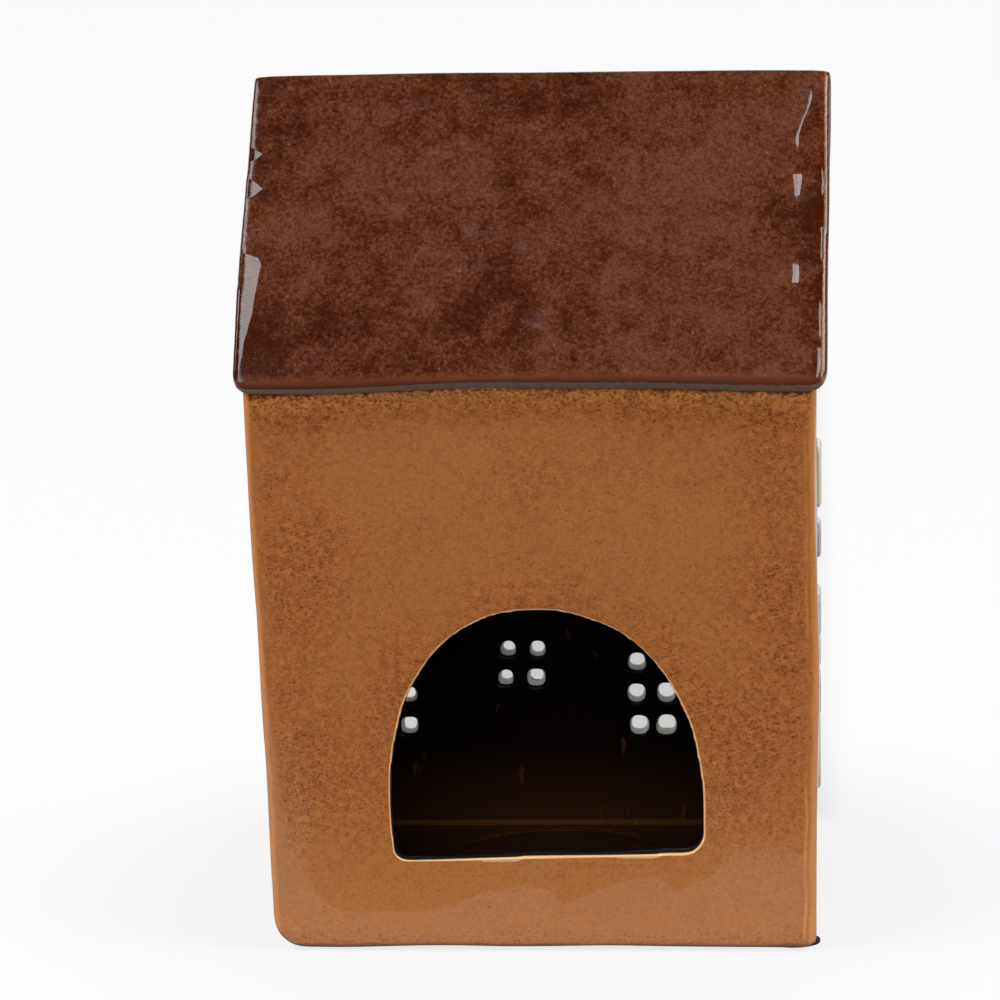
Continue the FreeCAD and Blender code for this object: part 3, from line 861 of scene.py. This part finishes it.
def add_node(tree, kind, *values, **settings):
    """Adds a node and returns its first output in use.

    The settings name its properties or inputs, and the values fill its inputs in use in their order.
    kind is the node's name, or a pair of the name and more settings.
    """
    if isinstance(kind, tuple):
        kind, shared = kind
        settings = {**shared, **settings}
    node = tree.nodes.new("ShaderNode" + kind)
    # Properties come first, because they decide which inputs are in use
    for name, value in settings.items():
        if hasattr(node, name):
            setattr(node, name, value)
    for name, value in settings.items():
        if not hasattr(node, name):
            fill(node.inputs[name], value)
    for socket, value in zip([socket for socket in node.inputs if socket.enabled], values):
        fill(socket, value)
    return next(socket for socket in node.outputs if socket.enabled)


def start_material(name):
    """A new material, the colours of the glazes, add_node for its tree, and Object coordinates in millimetres."""
    material = bpy.data.materials.new(name)
    material.use_nodes = True
    add = functools.partial(add_node, material.node_tree)
    place = add("VectorMath", add("TexCoord").node.outputs["Object"], 1 / MM, operation="SCALE")
    return material, bpy.context.scene.glaze_colours, add, place


def finish_material(material, **inputs):
    """Fills the shader's inputs, named with underscores for spaces, and returns the material."""
    shader = material.node_tree.nodes["Principled BSDF"]
    for name, value in inputs.items():
        fill(shader.inputs[name.replace("_", " ")], value)
    return material


def away_from(add, value, middle):
    """How far a value lies from a middle one."""
    return add(SIZE, add(MINUS, value, middle))


def read_table(add, table, place):
    """What a table of (place, value) pairs says at a place, in straight lines from pair to pair."""
    first, last = table[0][0], table[-1][0]
    largest = max(value for _, value in table)
    curve = add("FloatCurve", Value=add("MapRange", place, first, last))
    points = curve.node.mapping.curves[0].points
    shares = [((at - first) / (last - first), value / largest) for at, value in table]
    points[0].location, points[1].location = shares[0], shares[-1]
    for share in shares[1:-1]:
        points.new(*share)
    for point in points:
        point.handle_type = "VECTOR"
    curve.node.mapping.update()
    return add(TIMES, curve, largest)


def mustard_glaze():
    """Glossy brown-mustard glaze over dark clay, crazed and pitted; near-black on the inside, as painted shade.

    It gives the eye a leathery, slightly wrinkled skin, whose light and dark are partly painted, that turns amber
    and glassy where it pools low on the wall, and breaks to light tan over the corners and the arch's rim; the tan
    down the corners is partly painted highlight, and just under the eave the wall is painted lighter and its joint
    with the eave darker, as painted light and shade.
    """
    material, colours, add, place = start_material("mustard crackle glaze")
    x, _, z = add("SeparateXYZ", place).node.outputs
    arch, gable, eave, deep, front = (add("Attribute", attribute_name=name + "_mm").node.outputs["Fac"]
                                      for name in ("arch", "gable", "eave", "deep", "front"))

    # How crazed the glaze is: most under the eave, in a strip beside each gable and round the arch
    crazed = add(SMOOTH, eave, 12, 1, 0, 0.8)
    strip_in = add(SMOOTH, gable, 1.5, 5)
    strip_out = add(SMOOTH, gable, 26, 10, 0, 0.55)
    by_gable = add(TIMES, strip_in, strip_out)
    by_rim = add(SMOOTH, arch, 16, 3, 0, 0.35)
    zones = add("TexNoise", place, Scale=1 / 26, Detail=3, Roughness=0.6)
    zones = add("MapRange", zones, 0.4, 0.64, 0.1, 0.55)
    for more in (by_gable, by_rim, zones):
        crazed = add(PLUS, crazed, more)
    low = add(SMOOTH, z, 12, 40)
    crazed = add(TIMES, crazed, low, use_clamp=True)

    # Ground: tan where calm, redder where crazed, amber where it has pooled, with a fine grain; just under the eave
    # it is lightened as painted light
    tint = add("TexNoise", place, Scale=1 / 5, Detail=5, Roughness=0.65)
    tint = add(TIMES_PLUS, tint, 0.6, -0.3)
    red = add(PLUS, crazed, tint, use_clamp=True)
    wave = add("TexNoise", place, Scale=1 / 14, Detail=3)
    level = add(TIMES_PLUS, wave, 34, z)
    pooled = add(SMOOTH, level, 58, 40, 0, 0.85)
    # Painted light: just under the eave the wall is lightened towards tan, against the eave's shade
    bright = add(SMOOTH, eave, 7, 0, 0, 0.85)
    base = colours.mustard
    for share, tone in ((red, colours.mustard_red), (pooled, colours.amber), (bright, colours.edge_tan_and_light)):
        base = add(COLOUR, share, base, tone)
    grain = add("TexNoise", place, Scale=1 / 0.7, Detail=4, Roughness=0.75)
    grain = add("MapRange", grain, 0.3, 0.7, 0.8, 1.2)
    base = add(TINT, 1.0, base, grain)
    # Painted light and shade: where crazed, the colour is lightened and darkened in a leathery pattern, standing in
    # for the shading of a relief
    relief_shading = add("TexNoise", place, Scale=1 / 1.6, Detail=3, Distortion=0.5)
    relief_shading = add(MINUS, relief_shading, 0.5)
    relief_shading = add(TIMES, relief_shading, crazed)
    relief_shading = add("MapRange", relief_shading, -0.2, 0.2, 0.74, 1.3)
    base = add(TINT, 1.0, base, relief_shading)

    # Pits and short hairlines, denser the more crazed the glaze is; they lie slightly aslant
    slant = add("Mapping", place, Rotation=(0, 0.5, 0), Scale=(0.85, 1, 1.25))
    pits = add("TexNoise", slant, Scale=1 / 0.65, Detail=2, Roughness=0.5)
    pits = add(TIMES_PLUS, crazed, 0.12, pits)
    at_eave = add(SMOOTH, eave, 4.5, 0, 0, 0.06)
    at_foot = add(SMOOTH, z, 7, 4, 0, 0.11)
    for more in (at_eave, at_foot):
        pits = add(PLUS, pits, more)
    pits = add(SMOOTH, pits, 0.66, 0.75)
    lines = add("TexNoise", slant, Scale=1 / 2.2, Detail=4, Roughness=0.65, Distortion=0.8)
    lines = add(SMOOTH, away_from(add, lines, 0.5), 0.024, 0)
    broken = add(NOISE_4D, place, 20, Scale=1 / 1.9, Detail=2)
    broken = add(TIMES_PLUS, crazed, 0.16, broken)
    broken = add(SMOOTH, broken, 0.52, 0.64)
    lines = add(TIMES, lines, broken)
    marks = add(LARGER, pits, lines)
    marks = add(TIMES, marks, add("MapRange", crazed, 0, 1, 0.45, 0.66))
    # Painted shade: a ragged dark line along the joint under the eave
    ragged = add("TexNoise", place, Scale=1 / 1.5, Detail=3)
    ragged = add(TIMES_PLUS, ragged, -4, eave)
    eave_shade = add(SMOOTH, ragged, -0.6, -1.6, 0, 0.9)
    for share in (marks, eave_shade):
        base = add(COLOUR, share, base, colours.pit_brown_and_shade)

    # Tan down the corners, partly where the glaze breaks and partly as painted highlight; a tan line beside the
    # right corner as painted highlight; light on the arch's rim where the glaze breaks; dark at the foot
    wobble = add("TexNoise", place, Scale=1 / 9, Detail=1)
    from_corner = add(TIMES_PLUS, wobble, 1.6, gable)
    # The corner's tan strip is partly glaze breaking over the edge and partly painted highlight
    corner = add(SMOOTH, from_corner, 2.7, 1.9, 0, 0.6)
    # Painted highlight: a broken tan line beside the right corner
    highlight_line = add(SMOOTH, away_from(add, from_corner, 3.3), 0.5, 0.15, 0, 0.7)
    fading = add(NOISE_4D, place, 5, Scale=1 / 12, Detail=1)
    fading = add("MapRange", fading, 0.42, 0.6)
    highlight_line = add(TIMES, highlight_line, fading)
    highlight_line = add(TIMES, highlight_line, add(ABOVE, x, 0))
    foot = add(TIMES_PLUS, wobble, 1.2, z)
    foot = add(SMOOTH, foot, 2.9, 2, 0, 0.75)
    over = add(MINUS, deep, arch)
    over_end = add("MapRange", z, 21, 24, 1, 0.45)
    over_end = add(MINUS, over_end, over)
    rim_out = add(SMOOTH, over_end, 0, 0.25)
    rim_in = add(SMOOTH, over, -0.6, -0.25)
    breaking = add(TIMES, rim_in, rim_out)
    at_rim = add("MapRange", arch, 1.6, 1.1)
    at_back = add(ABOVE, front, 50)
    for limit in (at_rim, at_back):
        breaking = add(TIMES, breaking, limit)

    # The inside is painted near-black as painted shade, and the reveals of the panes are pale
    within = add(SMOOTH, deep, 0.5, 0.8)
    inside = add(MINUS, within, breaking, use_clamp=True)
    reveal = add(SMOOTH, front, 4.2, 3.8)
    reveal = add(TIMES, reveal, inside)
    for share, tone in ((corner, colours.edge_tan_and_light), (highlight_line, colours.edge_tan_and_light), (foot, colours.pit_brown_and_shade),
                        (breaking, colours.rim_peach), (inside, colours.inside), (reveal, colours.pane_white)):
        base = add(COLOUR, share, base, tone)

    # Glassy where it has pooled, satin where it is crazed
    gloss = add("MapRange", crazed, 0, 1, 0.03, 0.2)
    gloss = add(TIMES_PLUS, inside, 0.5, gloss)
    skin = add("TexNoise", slant, Scale=1 / 1.4, Detail=2)
    skin = add(TIMES, skin, crazed)
    sunk = add(TIMES_PLUS, marks, -0.3, skin)
    sunk = add(TIMES, sunk, 0.02)
    broad = add("TexNoise", place, Scale=1 / 24, Detail=1)
    sunk = add(TIMES_PLUS, broad, 0.5, sunk)
    return finish_material(material, Base_Color=base, Roughness=gloss, IOR=1.5,
                           Normal=add("Bump", Height=sunk, Distance=MM))


def room_shade_glaze():
    """The room behind the walls, near-black as painted shade: too dark to show more than a dull shine."""
    material, colours, add, place = start_material("black-brown room glaze")
    front = add("Attribute", attribute_name="front_mm").node.outputs["Fac"]
    z = add("SeparateXYZ", place).node.outputs["Z"]
    drips = add("TexNoise", add("Mapping", place, Scale=(1, 1, 0.35)), Scale=1 / 3, Detail=2)
    amber = add(SMOOTH, drips, 0.7, 0.76, 0, 0.12)
    # The painted shade lifts towards amber low on the walls, towards the floor
    low = add("MapRange", z, 26, 8, 0, 0.06)
    joint = add("MapRange", z, FLOOR_TOP_Z / MM + 1.6, FLOOR_TOP_Z / MM + 1.2, 0, 0.14)
    for more in (low, joint):
        amber = add(PLUS, amber, more)
    reveal = add("MapRange", front, 4.1, 3.9)
    base = add(COLOUR, amber, colours.inside, colours.amber)
    base = add(COLOUR, reveal, base, colours.pane_white)
    return finish_material(material, Base_Color=base, Roughness=0.3, Specular_IOR_Level=0.06)


def chocolate_glaze():
    """Glossy chocolate-brown glaze of the roof's outer faces and verges.

    It gives the eye a deep shine over a fine mottle: dark red-brown where it is thin over the grog, and
    a milky haze with pale specks where it is thick.
    """
    material, colours, add, place = start_material("chocolate roof glaze")
    x, _, z = add("SeparateXYZ", place).node.outputs
    verge, eave = (add("Attribute", attribute_name=name + "_mm").node.outputs["Fac"]
                   for name in ("verge", "eave"))
    right = add(ABOVE, x, 0)
    left = add(BELOW, x, 0)

    # Three sizes of mottle: clouds, blotches and grain
    clouds = add("TexNoise", place, Scale=1 / 30, Detail=2)
    blotches = add("TexNoise", place, Scale=1 / 7, Detail=6, Roughness=0.72, Distortion=0.4)
    grain = add("TexNoise", place, Scale=1 / 0.9, Detail=4, Roughness=0.7)
    mottle = add(TIMES_PLUS, clouds, 0.6, blotches)
    mottle = add(TIMES_PLUS, grain, 0.7, mottle)
    to_right = add(SMOOTH, x, -10, 50, 0, 0.06)
    mottle = add(PLUS, mottle, to_right)
    by_verge = add(SMOOTH, verge, 9, 2, 0, 0.1)
    mottle = add(MINUS, mottle, by_verge)
    dark = add(SMOOTH, mottle, 1.25, 0.95, 0, 0.9)
    milky = add(SMOOTH, mottle, 1.1, 1.44, 0, 0.85)
    base = add(COLOUR, milky, colours.chocolate, colours.chocolate_milky)
    base = add(COLOUR, dark, base, colours.chocolate_red)
    base = add(TINT, 1.0, base, add("MapRange", grain, 0.3, 0.7, 0.72, 1.28))
    worms = add("TexNoise", place, Scale=1 / 1.2, Detail=3, Roughness=0.6, Distortion=0.6)
    worms = add(SMOOTH, away_from(add, worms, 0.5), 0.06, 0, 0, 0.5)

    # Pale specks in hazy clusters
    haze = add(NOISE_4D, place, 90, Scale=1 / 9, Detail=3)
    haze = add(SMOOTH, haze, 0.6, 0.8, 0, 0.12)
    specks = add(NOISE_4D, place, 7, Scale=1 / 0.6, Detail=1)
    specks = add(TIMES_PLUS, haze, 0.45, specks)
    specks = add(SMOOTH, specks, 0.72, 0.82, 0, 0.5)
    pale = add(LARGER, specks, haze)

    # The glaze is thin and reddish just above the cut of the eave, and a tan line along the right verge
    lip = add(TIMES_PLUS, grain, -2.2, eave)
    lip = add(SMOOTH, lip, 2.2, 0.4, 0, 0.3)
    thin = add(SMOOTH, away_from(add, verge, 1), 0.45, 0.2, 0, 0.6)
    thin = add(TIMES, thin, right)
    for share, tone in ((worms, colours.chocolate_red), (pale, colours.chocolate_pale),
                        (lip, colours.chocolate_tan), (thin, colours.mustard)):
        base = add(COLOUR, share, base, tone)

    # By hand: a flat pressed into the left verge, and two thin runs of glaze beside the right one
    ragged = add("TexNoise", place, Scale=1 / 7, Detail=1)
    ragged = add(MINUS, ragged, 0.5)
    ragged = add(PLUS, ragged, verge)
    far = add(SMOOTH, z, 186, 197, 7.7, 4.6)
    shapes = []
    for table, middle, side in ((NEAR_RUN, 1.7, right), (FAR_RUN, far, right), (PRESSED_FLAT, 0, left)):
        inward = add(MINUS, read_table(add, table, z), away_from(add, ragged, middle))
        shapes.append(add(TIMES, add(LARGER, inward, 0), side))
    near_run, far_run, flat = shapes
    relief = add(TIMES, grain, 0.05)
    for run in (near_run, far_run):
        relief = add(TIMES_PLUS, run, 0.5, relief)
    tilted = add(TIMES_PLUS, verge, 0.4, relief)
    rolled = add(ABOVE, verge, 0.7)
    flat = add(TIMES, add("MapRange", flat, 0, 0.15), rolled)
    normal = add("Mix", flat, add("Bump", Height=relief, Distance=MM), add("Bump", Height=tilted, Distance=MM),
                 data_type="VECTOR")
    return finish_material(material, Base_Color=base, Roughness=0.05, IOR=1.5, Normal=normal)


def bare_eave_clay():
    """Unglazed grey-brown clay of the eave's cut and the roof's underside, dull, under a ragged glaze line."""
    material, colours, add, place = start_material("bare clay of the eave")
    deep = add("Attribute", attribute_name="deep_mm").node.outputs["Fac"]
    grain = add("TexNoise", place, Scale=1 / 0.8, Detail=4, Roughness=0.7)
    clay = add(TINT, 1.0, colours.bare_clay, add("MapRange", grain, 0.3, 0.7, 0.75, 1.25))
    x = add("SeparateXYZ", place)
    hanging = add("MapRange", x, -70, -20, 0.8, 0.2)
    edge = add(TIMES_PLUS, grain, -1.4, deep)
    edge = add(MINUS, edge, hanging)
    edge = add(SMOOTH, edge, 0.1, -0.2)
    base = add(COLOUR, edge, clay, colours.chocolate)
    return finish_material(material, Base_Color=base, Roughness=0.8, Specular_IOR_Level=0.1)


def floor_shade_glaze():
    """The floor, near-black as painted shade: a dull shine with a slow ripple, and specks of amber grit."""
    material, colours, add, place = start_material("black-brown floor glaze")
    specks = add("TexNoise", place, Scale=1 / 1.2, Detail=1)
    specks = add(SMOOTH, specks, 0.68, 0.76, 0.11, 0.4)
    base = add(COLOUR, specks, colours.inside, colours.amber)
    ripple = add("TexNoise", place, Scale=1 / 12, Detail=3)
    return finish_material(material, Base_Color=base, Roughness=0.3, Specular_IOR_Level=0.08,
                           Normal=add("Bump", Height=ripple, Distance=0.25 * MM))


def relief_glaze(material, add, place, ground, over, patches, roughness, skin):
    """A glaze of the relief: patches of one colour over another, and fine bumps in its skin.

    patches is (size in mm, detail, roughness, first value, full value, share), skin is (size, detail, height).
    """
    size, detail, coarse, first, full, most = patches
    patch = add("TexNoise", place, Scale=1 / size, Detail=detail, Roughness=coarse)
    patch = add(SMOOTH, patch, first, full, 0, most)
    base = add(COLOUR, patch, ground, over)
    size, detail, height = skin
    bumps = add("TexNoise", place, Scale=1 / size, Detail=detail)
    return finish_material(material, Base_Color=base, Roughness=roughness, IOR=1.5,
                           Normal=add("Bump", Height=bumps, Distance=height * MM))


def cream_glaze():
    """Cream glaze on the frames and the door's surround, worn to brown in patches."""
    material, colours, add, place = start_material("cream relief glaze")
    return relief_glaze(material, add, place, colours.cream, colours.mustard,
                        (2.2, 4, 0.7, 0.56, 0.72, 0.5), 0.14, (1.5, 2, 0.03))


def stone_glaze():
    """Pale glazes on the corner stones: each bed has its own tone, stained brown in patches."""
    material, colours, add, place = start_material("fieldstone glazes")
    z = add("SeparateXYZ", place).node.outputs["Z"]
    tones = add("ValToRGB", add("Math", z, STONES_HEIGHT, operation="DIVIDE"))
    ramp = tones.node.color_ramp
    ramp.interpolation = "CONSTANT"
    ramp.elements.remove(ramp.elements[1])
    for index, (share, code) in enumerate(STONE_BEDS):
        element = ramp.elements[0] if index == 0 else ramp.elements.new(share)
        element.position = share
        element.color = (*from_hex(code), 1.0)
    return relief_glaze(material, add, place, tones, colours.mustard_red,
                        (3.5, 5, 0.7, 0.55, 0.75, 0.55), 0.16, (2.5, 3, 0.12))


def door_glaze():
    """Dark red-brown glaze of the door leaf, milky where it is thick."""
    material, colours, add, place = start_material("door glaze")
    return relief_glaze(material, add, place, colours.door_brown, colours.chocolate_milky,
                        (3, 4, 0.65, 0.45, 0.7, 1), 0.14, (1.8, 2, 0.04))


def pad_rubber():
    """Black foam rubber of the stuck-on pads, matt with a fine grain."""
    material, colours, add, place = start_material("black pad rubber")
    grain = add("TexNoise", place, Scale=1 / 0.6, Detail=2)
    grain = add("MapRange", grain, 0.3, 0.7, 0.6, 1.5)
    base = add(TINT, 1.0, colours.pad_black, grain)
    return finish_material(material, Base_Color=base, Roughness=0.75)


# Stage

def floor_paper():
    """Matt white paper, white to the camera where no shadow falls on it.

    In the glaze it is a sheet that ends in front of the house, on a dark table, as in the photograph.
    """
    material, colours, add, place = start_material("white paper")
    x, y, _ = add("SeparateXYZ", place).node.outputs
    seen = add("LightPath").node.outputs["Is Camera Ray"]
    wall = BACK_Y / MM
    before_edge = add(PLUS, read_table(add, SHEET_EDGE, x), y)
    sheet = add(LARGER, add("MapRange", before_edge, wall - 1, wall + 1), seen)
    close = add(SMOOTH, before_edge, wall - 70, wall)
    table = add(COLOUR, close, colours.table, colours.table_near)
    base = add(COLOUR, sheet, table, colours.paper)

    # Beside, before and far beyond the house the camera sees plain white, a little less near its foot
    white = add(SMOOTH, add(SIZE, x), 45, 75)
    before = add(SMOOTH, y, 110, 50)
    beyond = add(SMOOTH, y, 420, 700)
    for more in (before, beyond):
        white = add(LARGER, white, more)
    far = add("VectorMath", place, operation="LENGTH")
    lit = add(SMOOTH, far, 60, 160, 0.78, 0.95)
    for limit in (lit, seen):
        white = add(TIMES, white, limit)
    nodes = material.node_tree.nodes
    mixed = add("MixShader", white, nodes["Principled BSDF"].outputs[0], add("Emission", (1, 1, 1, 1), 1.0))
    fill(nodes["Material Output"].inputs["Surface"], mixed)
    return finish_material(material, Base_Color=base, Roughness=0.9, Specular_IOR_Level=0.0)


def add_lamp(name, place, width, height, power):
    """A soft lamp panel that looks at the house."""
    deselect()
    bpy.ops.object.light_add(type="AREA", location=place)
    lamp = bpy.context.object
    lamp.name = name
    lamp.data.shape = "RECTANGLE"
    lamp.data.size = width
    lamp.data.size_y = height
    lamp.data.energy = power
    lamp.rotation_euler = (Vector(LAMP_TARGET) - Vector(place)).to_track_quat("-Z", "Y").to_euler()


def set_camera(settings):
    """The camera at the photograph's place, with its small roll."""
    deselect()
    bpy.ops.object.camera_add()
    camera = bpy.context.object
    camera.matrix_world = (Matrix.Translation(settings.camera_place) @ Matrix.Rotation(settings.azimuth, 4, "Z")
                           @ Matrix.Rotation(math.pi / 2 - settings.elevation, 4, "X")
                           @ Matrix.Rotation(settings.roll, 4, "Z"))
    camera.data.lens = settings.lens
    camera.data.sensor_width = 36
    camera.data.dof.use_dof = False
    camera.data.clip_start = 0.05
    camera.data.clip_end = 20
    bpy.context.scene.camera = camera


class TEALIGHT_OT_stage(bpy.types.Operator):
    """Set the floor, the lamps, the room and the camera"""
    bl_idname = "tealight.stage"
    bl_label = "Stage"

    def execute(self, context):
        settings = context.scene.stage_settings
        deselect()
        bpy.ops.mesh.primitive_plane_add(size=settings.floor_size, location=(0, 0, 0))
        floor = context.object
        floor.name = "paper_floor"
        glaze(floor, floor_paper())
        floor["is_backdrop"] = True
        for side, place, width, height in LAMPS:
            add_lamp(side + " softbox", place, width, height, getattr(settings, side + "_lamp"))
        world = bpy.data.worlds.new("studio")
        context.scene.world = world
        world.use_nodes = True
        add = functools.partial(add_node, world.node_tree)
        # The room is bright behind the house alone, and white to the camera
        _, ahead, height = add("SeparateXYZ", add("TexCoord").node.outputs["Generated"]).node.outputs
        walls = add("MapRange", ahead, 0.55, 0.85, settings.ceiling, settings.horizon)
        room = add("MapRange", height, 0.35, 0.65, walls, settings.ceiling)
        strength = add("MapRange", add("LightPath").node.outputs["Is Camera Ray"], 0, 1, room, 1.0)
        background = world.node_tree.nodes["Background"]
        fill(background.inputs["Color"], (1, 1, 1, 1))
        fill(background.inputs["Strength"], strength)
        set_camera(settings)
        context.scene.view_settings.view_transform = "Standard"
        return {"FINISHED"}


GROUPS = {"wall_sizes": WallSizes, "roof_sizes": RoofSizes, "trim_sizes": TrimSizes,
          "glaze_colours": GlazeColours, "stage_settings": StageSettings}
OPERATORS = (TEALIGHT_OT_walls, TEALIGHT_OT_roof, TEALIGHT_OT_floor, TEALIGHT_OT_street_front,
             TEALIGHT_OT_pads, TEALIGHT_OT_stage)


class TEALIGHT_PT_house(bpy.types.Panel):
    """The tealight house's sizes, glazes and steps"""
    bl_label = "Tealight House"
    bl_idname = "TEALIGHT_PT_house"
    bl_space_type = "VIEW_3D"
    bl_region_type = "UI"
    bl_category = "Tealight House"

    def draw(self, context):
        for operator in OPERATORS:
            self.layout.operator(operator.bl_idname)
        for group in GROUPS:
            settings = getattr(context.scene, group)
            box = self.layout.box()
            for name in settings.__annotations__:
                box.prop(settings, name)


CLASSES = (*GROUPS.values(), *OPERATORS, TEALIGHT_PT_house)


def register():
    for cls in CLASSES:
        bpy.utils.register_class(cls)
    for name, group in GROUPS.items():
        setattr(bpy.types.Scene, name, bpy.props.PointerProperty(type=group))


def unregister():
    for name in GROUPS:
        delattr(bpy.types.Scene, name)
    for cls in reversed(CLASSES):
        bpy.utils.unregister_class(cls)


def main():
    register()
    bpy.ops.tealight.walls()
    bpy.ops.tealight.roof()
    bpy.ops.tealight.floor()
    bpy.ops.tealight.street_front()
    bpy.ops.tealight.pads()
    bpy.ops.tealight.stage()
    boxes = {"cad": cad_bounds, "visual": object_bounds()}
    {name: [list(corner) for corner in box] for name, box in boxes.items()}


if __name__ == "__main__":
    main()
